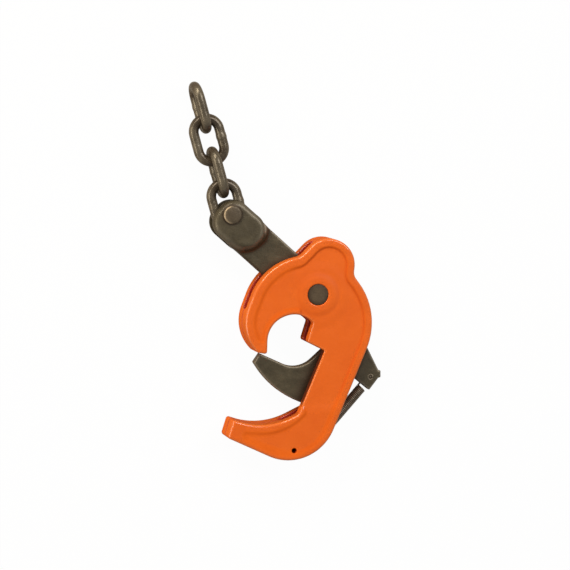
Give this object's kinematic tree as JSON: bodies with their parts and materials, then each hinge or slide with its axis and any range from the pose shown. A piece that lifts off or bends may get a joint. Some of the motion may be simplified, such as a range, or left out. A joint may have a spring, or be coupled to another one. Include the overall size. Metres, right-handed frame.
{
  "type": "drum lifting clamp",
  "caption": "Drum lifting clamp: painted hook-shaped cheeks with a sprung lifting lever that grips a drum's rim, and a lifting chain.",
  "frame": {"origin": "where the main pin's axis meets the face that the clamp lies on", "axes": "+Y up along the clamp from foot to chain, +X towards the back of the clamp, +Z along the main pin, out of the face it lies on"},
  "size_m": [0.1471, 0.2845, 0.028],
  "materials": {
    "orange_paint": "gloss",
    "dark_steel": "satin",
    "blued_steel": "satin"
  },
  "bodies": {
    "clamp_body": {"front_cheek": "orange_paint", "back_cheek": "orange_paint", "main_pin": "dark_steel", "spring_anchor_pin": "blued_steel", "closing_spring": "blued_steel"},
    "lever": {"lifting_lever": "dark_steel", "clevis_pin": "dark_steel", "clevis_pin_ring": "blued_steel", "tail_roll_pin": "blued_steel"},
    "link_1": {"chain_link_1": "dark_steel"},
    "link_2": {"chain_link_2": "dark_steel"},
    "link_3": {"chain_link_3": "dark_steel"},
    "link_4": {"chain_link_4": "dark_steel"}
  },
  "joints": [
    {"name": "lever_pivot", "type": "hinge", "parent": "clamp_body", "child": "lever", "pos_m": [0, 0, 0.014], "axis": [0, 0, 1], "range_deg": [0, 34], "stiffness_Nm_per_rad": 8, "springref_deg": -6.88, "deforming": ["closing_spring"]},
    {"name": "link_1_swing", "type": "hinge", "parent": "lever", "child": "link_1", "pos_m": [-0.065, 0.06082, 0.014], "axis": [0, 0, 1], "range_deg": [-45, 45]},
    {"name": "link_2_swing", "type": "hinge", "parent": "link_1", "child": "link_2", "pos_m": [-0.07164, 0.08357, 0.014], "axis": [0.9646, 0.2639, 0], "range_deg": [-38, 38]},
    {"name": "link_3_swing", "type": "hinge", "parent": "link_2", "child": "link_3", "pos_m": [-0.07824, 0.10768, 0.014], "axis": [0, 0, 1], "range_deg": [-60, 60]},
    {"name": "link_4_swing", "type": "hinge", "parent": "link_3", "child": "link_4", "pos_m": [-0.08484, 0.1318, 0.014], "axis": [0.9646, 0.2639, 0], "range_deg": [-70, 70]}
  ]
}
